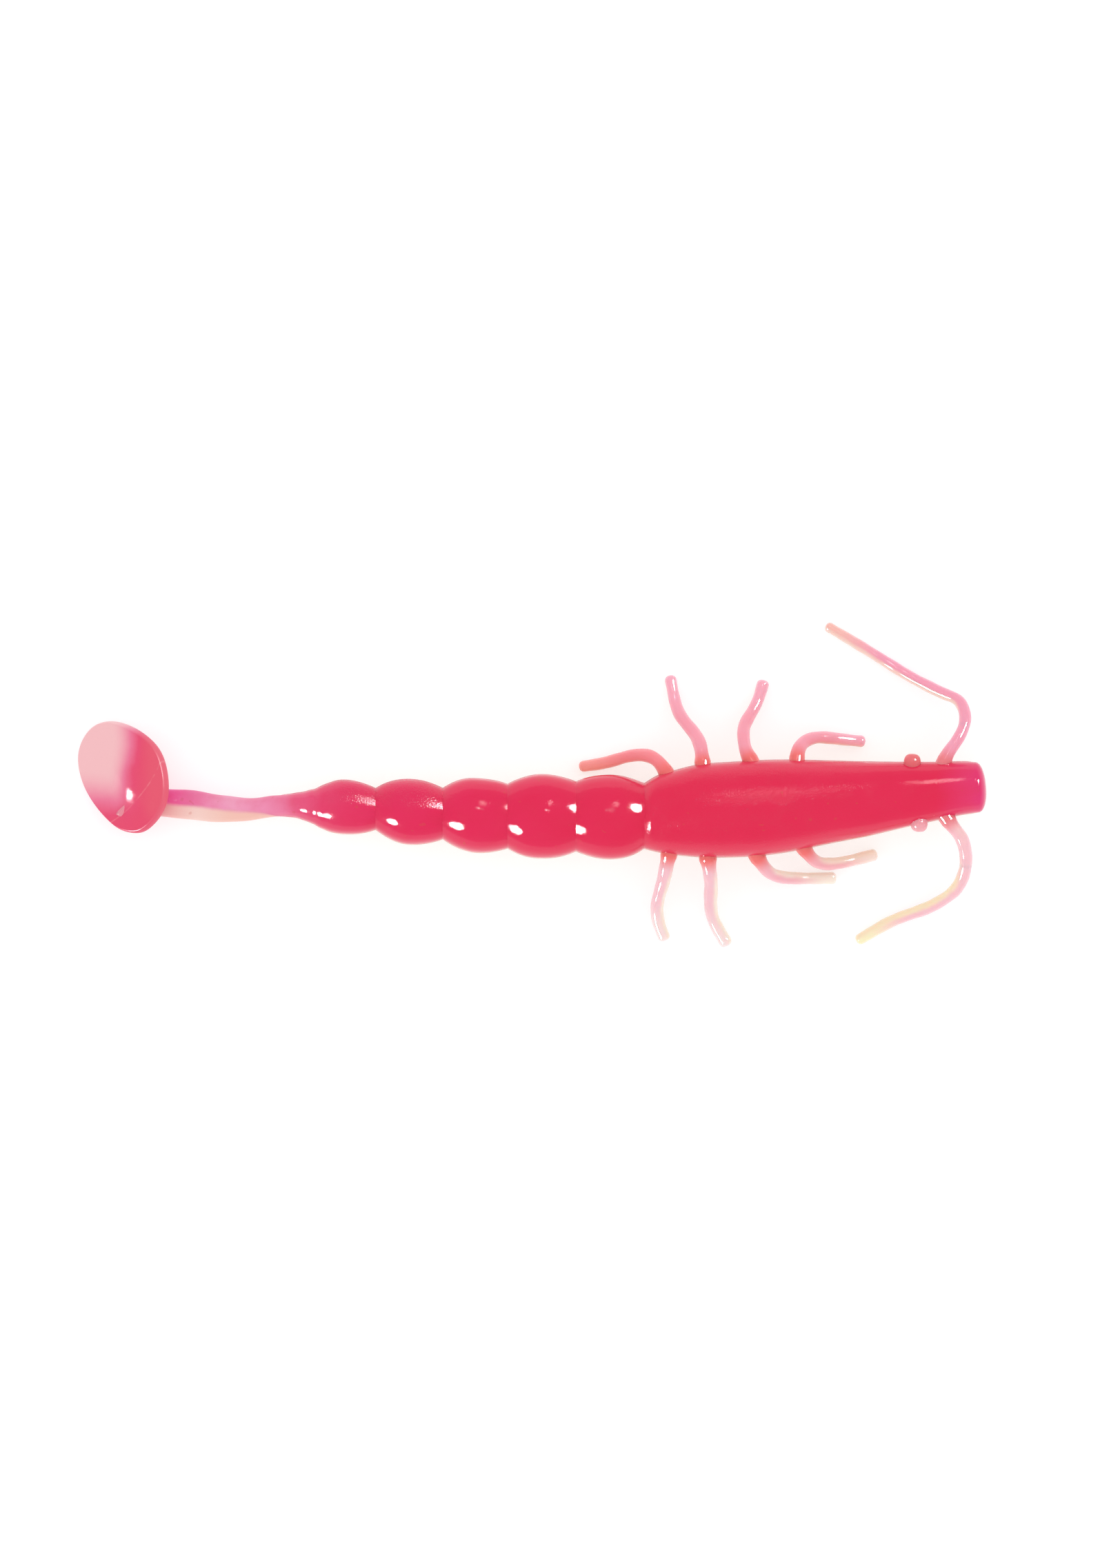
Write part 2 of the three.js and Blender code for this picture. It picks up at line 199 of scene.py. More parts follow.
# ---------------------------------------------------------------- the body surface

TAPER_FROM, TAPER_TO = -53.0, -68.4  # the last ring's crest, and the end of the stem's own outline
TWIST_FROM, TWIST_TO = -56.5, -69.0  # the stem's quarter twist
THORAX_END = -28.2  # where the skin of the thorax meets the first ring
RING_POWER = 2.05  # how flat-sided the arch of a ring is
# Head and thorax outline: x, left edge, right edge.
OUTLINE = [
    (-1.6, 2.13, -2.17), (-3.2, 2.11, -2.48), (-5.2, 2.09, -2.9), (-7.6, 2.09, -3.42),
    (-10.1, 2.12, -4.02), (-12.9, 2.2, -4.6), (-15.6, 2.25, -5.18), (-18.6, 2.2, -5.6),
    (-21.5, 2.06, -5.76), (-24.2, 1.8, -5.7), (-26.0, 1.32, -5.5), (-27.2, 0.93, -5.29),
]
# Behind the last crest: x and half the width, then x and half the height, before the twist.
TAPER = [(-54.0, 2.08), (-55.0, 1.7), (-56.0, 1.27), (-57.0, 1.0), (-58.2, 0.87),
         (-59.5, 0.84), (-61.0, 0.8), (-62.4, 0.78), (-64, 0.75), (-66, 0.73), (-68.4, 0.7)]
TAPER_HIGH = [(-53.0, 2.11), (-54.2, 1.92), (-55.3, 1.6), (-56.2, 1.36), (-57.4, 1.14), (-58.6, 1.0),
              (-59.8, 0.92), (-61.2, 0.98), (-62.4, 1.07), (-63.6, 1.14), (-65, 1.21), (-66.5, 1.2),
              (-68.4, 1.12)]
NOSE_YAW = math.radians(4.5)  # how far the nose is turned to the left
thorax_wide = spline([p[0] for p in OUTLINE] + [THORAX_END],
                     [(p[1] - p[2]) / 2 for p in OUTLINE] + [2.67])
taper_wide = spline([CREST_X[4]] + [p[0] for p in TAPER],
                    [(CRESTS[4][1] - CRESTS[4][2]) / 2] + [p[1] for p in TAPER], (None, 0))
taper_high = spline([p[0] for p in TAPER_HIGH], [p[1] for p in TAPER_HIGH], (None, 0))
# Middle line of the stem: x, y, z.
STEM_LINE = [(-55.3, -1.6, -1.6), (-56.3, -1.53, -1.68), (-57.45, -1.47, -1.75), (-58.6, -1.53, -1.83),
             (-59.5, -1.66, -1.9), (-60.5, -1.79, -1.97), (-61.4, -1.83, -2.03), (-62.4, -1.8, -2.1),
             (-63.6, -1.72, -2.18), (-65, -1.53, -2.25), (-66.5, -1.38, -2.31), (-68.4, -1.25, -2.34)]
NOSE_HEIGHT = -0.3  # middle height of the nose and the thorax
middle_points = (
    [(0.0, 0.0, NOSE_HEIGHT)]
    + [(x, (left + right) / 2, NOSE_HEIGHT) for x, left, right in OUTLINE]
    + [tuple(neck) for neck in NECKS]
    + [(x, (left + right) / 2, height) for x, left, right, height in CRESTS]
    + STEM_LINE
)
centre_y = spline([p[0] for p in middle_points], [p[1] for p in middle_points])
centre_z = spline([p[0] for p in middle_points], [p[2] for p in middle_points])
# Roll of the section in degrees along the quarter twist.
roll_at = spline([-53, -56.5, -57.45, -58.3, -59, -60, -61, -62.4, -64, -66, -69],
                 [0, 0, 4, 18, 42, 68, 80, 86, 89, 90, 90])


def half_width(x):
    """Half the width of the body section at x. Each ring is a flat-ended arch between its two necks."""
    x = np.asarray(x, float)
    wide = thorax_wide(np.maximum(x, NECKS[0][0]))
    for i, (crest, left, right, _) in enumerate(CRESTS):
        crest_wide = (left - right) / 2
        front = NECKS[i][0]
        rear = NECKS[i + 1][0] if i < 4 else TAPER_FROM
        ring = (x < front) & (x >= rear)
        end = np.where(x > crest, front, rear if i < 4 else crest - 1)
        neck = np.where(x > crest, NECK_HALF[i], NECK_HALF[min(i + 1, 4)])
        share = (x - crest) / (end - crest)
        wide = np.where(ring, crest_wide - (crest_wide - neck) * np.abs(share) ** RING_POWER, wide)
    return np.where(x < TAPER_FROM, taper_wide(np.clip(x, TAPER_TO, TAPER_FROM)), wide)


def half_height(x):
    """Half the height of the body section at x, with a level nose and a step behind the thorax."""
    x = np.asarray(x, float)
    swell = (0.06 * np.exp(-(((x + 1.0) / 2.2) ** 2)) - 0.07 * np.exp(-(((x + 6.6) / 2.2) ** 2))
             + 0.2 * np.exp(-(((x + 27.75) / 0.5) ** 2)))
    taper = taper_high(np.clip(x, TAPER_TO, TAPER_FROM))
    return np.where(x < TAPER_FROM, taper, half_width(x) * HEIGHT_SHARE + swell)


def wobble(x, theta):
    """Slow, small unevenness of a soft moulding: dents in the rings, wrinkles and one dent on the taper."""
    return (
        0.014 * np.sin(0.61 * x + 2 * theta + 0.4)
        + 0.010 * np.sin(0.37 * x + 3 * theta + 1.2)
        + 0.012 * np.sin(1.9 * x - theta + 2.1) * smooth(-x, 27, 31)
        + 0.012 * np.sin(5.6 * x + theta) * smooth(-x, 53.5, 55) * smooth(x, -59.5, -57)
        - 0.045 * np.exp(-(((x + 55.45) / 0.28) ** 2))
    )


def body_point(x, theta):
    """Skin point at length x and angle theta (0 left, 90 degrees back), and its height over the split."""
    x, theta = np.broadcast_arrays(np.asarray(x, float), np.asarray(theta, float))
    seam = np.exp(-((np.abs(np.sin(theta)) / 0.022) ** 2))
    uneven = wobble(x, theta) * smooth(-x, 0.5, 3)
    a, b = half_width(x) + uneven, half_height(x) + uneven
    ridge = 0.045 * seam * smooth(-x, 0.4, 1.5)
    side, lift = (a + ridge) * np.cos(theta), b * np.sin(theta)
    roll = np.radians(np.where(x > TWIST_FROM, 0, roll_at(np.clip(x, TWIST_TO, TAPER_FROM))))
    yaw = NOSE_YAW * (1 - smooth(-x, 4, 22))
    lateral = side * np.cos(roll) + lift * np.sin(roll)
    up = lift * np.cos(roll) - side * np.sin(roll)
    px = x - lateral * np.sin(yaw)
    py = centre_y(x) + lateral * np.cos(yaw)
    pz = centre_z(x) + up
    return np.stack([px, py, pz], -1), lift


def angles(around):
    """Evenly spaced angles round a section, starting on the left side."""
    return np.linspace(0, 2 * np.pi, around, endpoint=False)


def steps(start, end, size):
    """Evenly spaced lengths from start to end, about size apart."""
    return np.linspace(start, end, max(3, int(abs(end - start) / size) + 1))


def body_piece(name, start, end, around=BODY_AROUND):
    """Skin of the body between two lengths."""
    theta = angles(around)[None, :]
    rings, lift = body_point(steps(start, end, BODY_STEP)[:, None], theta)
    facts = {"lift": lift, "cheek": np.cos(theta), "rise": np.sin(theta)}
    return grid_piece(name, rings, facts, ("sharp", "sharp"))


def near(x, y=None, z=None):
    """Point in metres, on the body's middle line unless y and z are given."""
    y = centre_y(x) if y is None else y
    z = centre_z(x) if z is None else z
    return tuple(float(c) * MM for c in (x, y, z))


# ---------------------------------------------------------------- materials


def srgb(*rgb):
    """Albedo that shows as this screen colour under the soft light."""
    return [((c / 255 + 0.055) / 1.055) ** 2.4 / WORLD for c in rgb] + [1.0]


class Nodes:
    """Short way to add and link shader nodes."""

    def __init__(self, name):
        self.material = bpy.data.materials.new(name)
        self.material.use_nodes = True
        self.tree = self.material.node_tree
        self.shader = self.tree.nodes["Principled BSDF"]

    def add(self, kind, **settings):
        node = self.tree.nodes.new(kind)
        for key, value in settings.items():
            setattr(node, key, value)
        return node

    def put(self, target, value):
        if isinstance(value, bpy.types.NodeSocket):
            self.tree.links.new(value, target)
        else:
            target.default_value = value

    def attribute(self, name, vector=False):
        node = self.add("ShaderNodeAttribute", attribute_name=name)
        return node.outputs["Vector" if vector else "Fac"]

    def math(self, operation, a, b=0.0):
        node = self.add("ShaderNodeMath", operation=operation)
        self.put(node.inputs[0], a)
        self.put(node.inputs[1], b)
        return node.outputs[0]

    def ramp(self, value, low, high):
        node = self.add("ShaderNodeMapRange", interpolation_type="SMOOTHSTEP")
        self.put(node.inputs["Value"], value)
        node.inputs["From Min"].default_value = low
        node.inputs["From Max"].default_value = high
        return node.outputs["Result"]

    def mix(self, factor, a, b):
        node = self.add("ShaderNodeMix", data_type="RGBA")
        self.put(node.inputs[0], factor)
        self.put(node.inputs[6], a)
        self.put(node.inputs[7], b)
        return node.outputs[2]

    def noise(self, scale, detail, stretch=None):
        coords = self.attribute("rest", True)
        if stretch:
            mapping = self.add("ShaderNodeMapping")
            self.put(mapping.inputs["Vector"], coords)
            mapping.inputs["Scale"].default_value = stretch
            coords = mapping.outputs[0]
        node = self.add("ShaderNodeTexNoise")
        self.put(node.inputs["Vector"], coords)
        node.inputs["Scale"].default_value = scale
        node.inputs["Detail"].default_value = detail
        node.inputs["Roughness"].default_value = 0.55
        return node.outputs["Fac"]

    def sway(self, scale, detail, size):
        """Noise around zero."""
        return self.math("MULTIPLY", self.math("SUBTRACT", self.noise(scale, detail), 0.5), size)

    def distance_back(self):
        """Distance behind the nose in mm, in the rest pose."""
        rest = self.add("ShaderNodeSeparateXYZ")
        self.put(rest.inputs[0], self.attribute("rest", True))
        return self.math("MULTIPLY", rest.outputs[0], -1.0)

    def bump(self, height, strength, distance, normal=None):
        node = self.add("ShaderNodeBump")
        node.inputs["Strength"].default_value = strength
        node.inputs["Distance"].default_value = distance
        self.put(node.inputs["Height"], height)
        if normal is not None:
            self.put(node.inputs["Normal"], normal)
        return node.outputs[0]


def plastisol(name, colour_of, roughness, subsurface=0.0, specks=False, bump=0.5, satin=None, grain=None,
              coat=0.0):
    """Glossy soft plastic with a haze between the two roughness values.

    colour_of(nodes) gives its colour, satin(nodes) adds roughness and grain(nodes) adds fine grain.
    """
    n = Nodes(name)
    colour = colour_of(n)
    if specks:
        dots = n.ramp(n.noise(2.1, 0.0), 0.79, 0.83)
        colour = n.mix(n.math("MULTIPLY", dots, 0.25), colour, srgb(205, 90, 70))
    n.put(n.shader.inputs["Base Color"], colour)
    haze = n.ramp(n.noise(0.9, 2.0), 0.35, 0.75)
    low, high = roughness
    rough = n.math("ADD", n.math("MULTIPLY", haze, high - low), low)
    if satin:
        rough = n.math("ADD", rough, satin(n))
    fine = n.bump(n.noise(5.5, 2.0), bump, 0.01 * MM)
    if grain:
        grained = grain(n)
        rough = n.math("ADD", rough, n.math("MULTIPLY", grained, 0.05))
        fine = n.bump(n.math("MULTIPLY", n.noise(9.0, 1.0), grained), 1.0, 0.03 * MM, fine)
    n.put(n.shader.inputs["Roughness"], rough)
    slow = n.bump(n.noise(0.8, 1.0, stretch=(0.5, 1, 1)), bump, 0.04 * MM, fine)
    n.put(n.shader.inputs["Normal"], slow)
    n.shader.inputs["IOR"].default_value = 1.5
    n.shader.inputs["Specular IOR Level"].default_value = 0.25
    if coat:
        n.shader.inputs["Coat Weight"].default_value = coat
        n.shader.inputs["Coat Roughness"].default_value = 0.03
    if subsurface:
        n.shader.inputs["Subsurface Weight"].default_value = subsurface
        n.shader.inputs["Subsurface Radius"].default_value = (0.6, 0.25, 0.2)
        n.shader.inputs["Subsurface Scale"].default_value = MM
    return n.material


def body_grain(n):
    """How grained the skin is: a little on the thorax, more on the left of the last two rings."""
    along = n.distance_back()
    thorax = n.math("MULTIPLY", n.ramp(along, 7.5, 14.0), n.ramp(along, 28.3, 28.1))
    rings = n.math("MULTIPLY", n.ramp(along, 43.0, 46.0), n.ramp(n.attribute("cheek"), 0.05, 0.25))
    rings = n.math("MULTIPLY", rings, n.ramp(along, 56.0, 54.0))
    return n.math("ADD", n.math("MULTIPLY", thorax, 0.6), n.math("MULTIPLY", rings, 1.3))


BODY_LENGTH = 75  # the colour ramps below run over this length in mm
CREAM = srgb(249, 207, 184)
# Pink of the paler rim band: partly the red thinning over the cream, partly painted rim light.
THIN_RED_AND_RIM_LIGHT = srgb(236, 104, 126)
# Colour of the red side along the length: distance from the nose in mm, then the colour. The stop at 67.3 mm
# is lifted brighter, painted light against the shade on the stem under the paddle's edge.
BACK_COLOURS = [
    (0.0, (230, 62, 124)), (1.1, (232, 63, 113)), (4.0, (231, 50, 86)), (26.0, (231, 49, 84)),
    (44.0, (231, 50, 92)), (50.0, (231, 53, 97)), (54.5, (232, 68, 110)), (57.0, (235, 96, 136)),
    (60.0, (242, 148, 184)), (62.5, (244, 166, 196)), (65.3, (241, 134, 182)), (67.3, (252, 110, 180)),
    (70.0, (240, 90, 140)),
]
# The same for the cream side of the stem.
STEM_CREAM = [
    (58.0, (247, 190, 178)), (62.5, (247, 197, 184)), (65.2, (250, 214, 205)), (67.0, (247, 192, 186)),
    (69.5, (242, 150, 165)),
]


def colour_stops(n, value, pairs, length):
    """Colour ramp over a length, from (place, rgb) pairs."""
    ramp = n.add("ShaderNodeValToRGB")
    n.put(ramp.inputs[0], n.math("MULTIPLY", value, 1 / length))
    stops = ramp.color_ramp.elements
    while len(stops) < len(pairs):
        stops.new(0.5)
    for stop, (at, rgb) in zip(stops, pairs):
        stop.position = at / length
        stop.color = srgb(*rgb)
    return ramp.outputs[0]


def body_colour(n):
    """Red back over a cream belly, with a paler rim between them, partly painted rim light, and a pink and
    cream stem.
    """
    lift, cheek, rise = (n.attribute(k) for k in ("lift", "cheek", "rise"))
    along = n.distance_back()
    red = colour_stops(n, n.math("ADD", along, n.sway(0.3, 2.0, 2.2)), BACK_COLOURS, BODY_LENGTH)
    cloud = n.ramp(n.noise(0.45, 4.0), 0.35, 0.7)
    red = n.mix(n.math("MULTIPLY", cloud, 0.25), red, srgb(226, 40, 76))
    stem = n.ramp(along, 54.0, 60.0)
    solid = n.math("SUBTRACT", 1.0, stem)
    # Paler towards the rim, more on the right side and on the rings than on the thorax: partly the red
    # thinning over the cream, partly painted rim light that also lifts the low sides of the rear rings out
    # of their shade.
    wander = n.sway(0.5, 2.0, 0.13)
    level = n.math("ADD", n.math("ADD", rise, n.math("MULTIPLY", cheek, 0.15)), wander)
    share = n.math("MULTIPLY", n.ramp(along, 26.0, 54.0), 0.95)
    thin = n.math("MULTIPLY", n.ramp(level, 0.5, 0.0), solid)
    red = n.mix(n.math("MULTIPLY", thin, share), red, THIN_RED_AND_RIM_LIGHT)
    # The split between the colours wanders a little.
    soft = n.ramp(n.math("ADD", rise, n.math("ADD", n.math("MULTIPLY", cheek, 0.08), wander)), 0.12, -0.16)
    crisp = n.ramp(n.math("ADD", lift, n.math("MULTIPLY", wander, 2.5)), 0.16, -0.3)
    split = n.add("ShaderNodeMix", data_type="FLOAT")
    n.put(split.inputs[0], stem)
    n.put(split.inputs[2], soft)
    n.put(split.inputs[3], crisp)
    cream = n.mix(stem, CREAM, colour_stops(n, along, STEM_CREAM, BODY_LENGTH))
    return n.mix(split.outputs[0], red, cream)


def limb_colour(root, middle, tip, cream, reach, turning=0.45, split=(-0.05, 0.75)):
    """Pink that changes from root to tip over the reach, and turns to cream on one side."""

    def colour(n):
        along = n.attribute("along")
        side = n.attribute("side")
        cloud = n.sway(0.9, 2.0, 0.35)
        pink = n.mix(n.ramp(along, -0.1, 1.2), root, middle)
        pink = n.mix(n.ramp(along, turning * reach, reach), pink, tip)
        edge = n.ramp(n.math("ADD", side, cloud), *split)
        fade = n.ramp(along, 0.3, 2.4)
        return n.mix(n.math("MULTIPLY", edge, fade), pink, cream)

    return colour


# Colour of the paddle from its thin pale part (0) to its dense part (1): partly the blade's thickness,
# partly painted light through the thin blade and painted shade where the stem lies under it.
PADDLE_THIN_LIT_TO_THICK_SHADED = [(0.0, (247, 192, 196)), (0.2, (245, 172, 184)), (0.55, (239, 124, 156)),
                  (0.85, (234, 84, 120)), (1.0, (234, 82, 114))]


def paddle_colour(n):
    """Pale to dense pink, partly painted light through the thin blade and painted shade over the stem
    beneath it, redder on the flank beside the ankle.
    """
    dense = n.attribute("dense")
    flank = n.attribute("flank")
    uneven = n.math("MULTIPLY", dense, n.math("SUBTRACT", 1.5, dense))
    level = n.math("ADD", dense, n.math("MULTIPLY", n.sway(0.9, 4.0, 0.3), uneven))
    base = colour_stops(n, level, PADDLE_THIN_LIT_TO_THICK_SHADED, 1.0)
    base = n.mix(n.math("MULTIPLY", flank, 0.6), base, srgb(235, 100, 118))
    # A faint trim line runs across the face beside the stem.
    line = n.math("ABSOLUTE", n.attribute("trim"))
    mark = n.math("MULTIPLY", n.ramp(line, 0.07, 0.02), n.ramp(n.noise(1.1, 2.0), 0.4, 0.65))
    return n.mix(n.math("MULTIPLY", mark, 0.2), base, srgb(250, 190, 190))


def brim_satin(n):
    """The rim of the paddle is duller than its face."""
    return n.math("MULTIPLY", n.attribute("brim"), 0.35)


BODY = plastisol("plastisol_red_over_cream", body_colour, (0.06, 0.15), specks=True, bump=0.8,
                 grain=body_grain)
PADDLE = plastisol("plastisol_paddle", paddle_colour, (0.07, 0.16), bump=0.9, satin=brim_satin)


def limb_material(name, colour):
    return plastisol(f"plastisol_{name}", colour, (0.06, 0.12), 0.3, coat=0.6)


def finish_piece(piece, material, slot, *nodes):
    """Gives a piece its material in place of the CAD nodes, which it hides. The slot is not used."""
    piece.data.materials.append(material)
    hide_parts(*nodes)


# ---------------------------------------------------------------- head, thorax and lobes

NOSE_REACH = 0.85  # length over which the nose face turns into the sides
STEM_CUT, STEM_END = -59.8, -65.2  # where the skin of the stem begins and ends
NOSE_RINGS = 22  # rings of the domed nose face
NECK_BACK = -25.9  # behind this the thorax's sections stand closer together
MIDDLE_SHIFT = 0.55  # how far in front of its crest a ring's skin is divided


def head_grid():
    """Rings and vertex facts of the domed nose face and the thorax behind it."""
    theta = angles(BODY_AROUND)
    end_ring, end_lift = body_point(np.full_like(theta, -NOSE_REACH), theta)
    end_middle = np.array([-NOSE_REACH, float(centre_y(-NOSE_REACH)), float(centre_z(-NOSE_REACH))])
    forward = np.array([math.cos(NOSE_YAW), math.sin(NOSE_YAW), 0])
    rings, shares = [], []
    for turn in np.linspace(0.03, 0.985, NOSE_RINGS) * math.pi / 2:
        share = math.sin(turn) ** 0.8
        bow = 1 - (1 - share**2.2) ** 0.42
        rings.append(end_middle + (end_ring - end_middle) * share + forward * NOSE_REACH * (1 - bow))
        shares.append(share)
    xs = np.concatenate([steps(-NOSE_REACH, NECK_BACK, THORAX_STEP),
                         steps(NECK_BACK, THORAX_END, BODY_STEP)[1:]])
    body_rings, body_lift = body_point(xs[:, None], theta[None, :])
    shares = np.array(shares)[:, None]
    facts = {"lift": np.concatenate([end_lift * shares, body_lift])}
    for key, around in (("cheek", np.cos(theta)), ("rise", np.sin(theta))):
        facts[key] = np.concatenate([around * shares, np.broadcast_to(around, body_lift.shape)])
    return np.concatenate([np.array(rings), body_rings]), facts


skin = grid_piece("skin_head_thorax", *head_grid(), (True, "sharp"))
near(-26.4)
near(-28.1)
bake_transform(skin)
finish_piece(skin, BODY, "red_back", "head_thorax_back", "head_thorax_belly")

for i, crest in enumerate(CREST_X):
    k = i + 1
    neck = NECKS[i][0]
    middle = crest + (MIDDLE_SHIFT if i < 4 else 0.0)
    front = body_piece(f"skin_lobe_{k}_front", neck, middle)
    near(neck - 0.05)
    near(middle + 0.1)
    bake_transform(front)
    finish_piece(front, BODY, "red_back", f"segment_{k}_back", f"waist_{k}")
    if i < 4:
        next_neck = NECKS[i + 1][0]
        rear = body_piece(f"skin_lobe_{k}_rear", middle, next_neck)
        near(middle - 0.1)
        near(next_neck + 0.05)
        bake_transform(rear)
        finish_piece(rear, BODY, "red_back", f"segment_{k}_belly")

last = body_piece("skin_lobe_5_rear", TAPER_FROM, STEM_CUT)
near(STEM_ROOT[0] + 1.2)
near(STEM_ROOT[0] - 1.3)
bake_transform(last)
finish_piece(last, BODY, "red_back", "segment_5_belly", "stem_front_back")
stem = body_piece("skin_stem", STEM_CUT, STEM_END, STEM_AROUND)
near(STEM_MID[0] + 1.3)
near(STEM_MID[0] - 1.3)
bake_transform(stem)
finish_piece(stem, BODY, "red_back", "stem_front_belly", "stem_rear_belly")

# ---------------------------------------------------------------- legs, feelers and eyes


class Path:
    """Smooth path through points in millimetres, measured by length."""

    def __init__(self, points):
        p = np.array(points, float)
        t = np.concatenate([[0], np.cumsum(np.linalg.norm(np.diff(p, axis=0), axis=1))])
        axes = [spline(t, p[:, c]) for c in range(3)]
        fine = np.linspace(0, t[-1], 600)
        dense = np.stack([f(fine) for f in axes], -1)
        run = np.concatenate([[0], np.cumsum(np.linalg.norm(np.diff(dense, axis=0), axis=1))])
        self.length, self.run, self.dense = run[-1], run, dense

    def at(self, s):
        s = np.asarray(s, float)
        inside = np.clip(s, 0, self.length)
        p = np.stack([np.interp(inside, self.run, self.dense[:, c]) for c in range(3)], -1)
        return p + self.way(s) * (s - inside)[..., None]

    def way(self, s):
        s = np.clip(np.asarray(s, float), 0.02, self.length - 0.02)
        a = np.stack([np.interp(s - 0.02, self.run, self.dense[:, c]) for c in range(3)], -1)
        b = np.stack([np.interp(s + 0.02, self.run, self.dense[:, c]) for c in range(3)], -1)
        return unit(b - a)


def frames(ways, first):
    """A side vector for each direction, carried along without twist."""
    sides = [unit(first - ways[0] * np.dot(first, ways[0]))]
    for w in ways[1:]:
        sides.append(unit(sides[-1] - w * np.dot(sides[-1], w)))
    return np.array(sides)


def limb_piece(name, path, span, radius, cream, root_flare=0.0, blunt=None, caps=(True, True), phase=None):
    """Tube over a span of a path, with its radius given by length and cream pointing to its pale side.

    root_flare widens the root, blunt adds a rounded end of that many radii, and the pieces of one limb share
    the phase of their unevenness.
    """
    s = steps(*span, LIMB_STEP)
    ways = path.way(s)
    sides = frames(ways, np.array([0.0, 0.0, 1.0]))
    outs = np.cross(ways, sides)
    phase = RNG.uniform(0, 6.28, 2) if phase is None else phase
    uneven = 1 + 0.025 * np.sin(1.7 * s + phase[0]) + 0.018 * np.sin(3.9 * s + phase[1])
    centres, radii = path.at(s), radius(s) * uneven
    if blunt is not None:
        turns = np.linspace(0.12, 1, 9) * (math.pi / 2) * 0.985
        beyond = blunt * radii[-1] * np.sin(turns)
        centres = np.concatenate([centres, centres[-1] + beyond[:, None] * ways[-1]])
        sides, outs = (np.concatenate([way, np.repeat(way[-1:], len(turns), 0)]) for way in (sides, outs))
        s = np.concatenate([s, s[-1] + beyond])
        radii = np.concatenate([radii, radii[-1] * np.cos(turns) ** 0.7])
    flare = 1 + root_flare * np.exp(-((np.maximum(s, 0) / 0.42) ** 1.5))
    theta = angles(LIMB_AROUND)
    out = sides[:, None] * np.cos(theta)[None, :, None] + outs[:, None] * np.sin(theta)[None, :, None]
    rings = centres[:, None] + out * (radii * flare)[:, None, None]
    side = out @ unit(np.array(cream, float))
    return grid_piece(name, rings, {"along": s[:, None], "side": side}, caps)


def leg_radius(root, end, length):
    """Radius that goes smoothly from root to end."""
    return lambda s: root + (end - root) * smooth(s, 0, length)


def feeler_radius(places, radii):
    """Radius through the given values at the given lengths."""
    return lambda s: np.interp(s, places, radii)


def bend_between(piece, path, s, after, tip=None):
    """Works out a direction at length s of the path, which is not used, and bakes the piece's transform; no
    blend is made.
    """
    here = path.at(s)
    tip = path.at(path.length) if tip is None else tip
    way = unit(unit(path.at(s + after) - here) + unit(tip - here))
    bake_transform(piece)


# Each leg: points from its joint to its end, radius at both, and the direction of its pale side.
LEGS = {
    "left_leg_1": ([(-26.9, 1.95, -0.75), (-27.6, 2.5, -1.2), (-28.5, 2.68, -1.8),
                    (-29.6, 2.55, -2.4), (-31.2, 2.1, -3.0), (-33.15, 1.76, -3.35)],
                   0.56, 0.49, (0, -0.6, -0.8)),
    "left_leg_2": ([(-23.5, 3.0, -0.75), (-23.8, 4.0, -1.3), (-24.5, 5.0, -1.95),
                    (-25.3, 6.1, -2.6), (-25.7, 7.3, -3.1), (-26.0, 8.8, -3.4)],
                   0.57, 0.49, (-0.5, 0, -0.9)),
    "left_leg_3": ([(-19.8, 3.0, -0.7), (-20.0, 4.0, -1.2), (-19.95, 5.0, -1.9),
                    (-19.45, 6.0, -2.6), (-18.9, 7.0, -3.1), (-18.4, 8.5, -3.4)],
                   0.55, 0.49, (-0.5, 0, -0.9)),
    "left_leg_4": ([(-15.5, 3.0, -0.7), (-15.1, 3.65, -1.15), (-14.1, 4.1, -1.8), (-13, 4.1, -2.4),
                    (-11.6, 3.95, -3.0), (-10.3, 3.82, -3.35)],
                   0.55, 0.49, (0, -0.8, -0.6)),
    "right_leg_1": ([(-26.4, -6.6, -0.75), (-26.65, -7.8, -1.4), (-27.0, -9.0, -2.1),
                     (-27.15, -10.1, -2.8), (-27.0, -11.2, -3.2), (-26.6, -12.3, -3.4)],
                    0.59, 0.52, (0.95, 0, -0.2)),
    "right_leg_2": ([(-22.8, -7.0, -0.75), (-22.7, -8.0, -1.4), (-22.72, -9.4, -2.3),
                     (-22.55, -10.7, -2.95), (-22.0, -11.9, -3.3), (-21.5, -12.75, -3.4)],
                    0.59, 0.52, (0.95, 0, -0.2)),
    "right_leg_3": ([(-18.45, -6.4, -0.75), (-17.9, -7.0, -1.2), (-17.0, -7.38, -1.9),
                     (-15.9, -7.5, -2.6), (-14.4, -7.52, -3.15), (-12.7, -7.5, -3.4)],
                    0.55, 0.49, (0.1, 0.9, 0.3)),
    "right_leg_4": ([(-14.55, -5.65, -0.7), (-13.95, -6.15, -1.15), (-13.1, -6.32, -1.75),
                     (-12.2, -6.26, -2.4), (-10.8, -5.98, -3.05), (-9.3, -5.6, -3.35)],
                    0.53, 0.49, (0.1, 0.9, 0.3)),
}
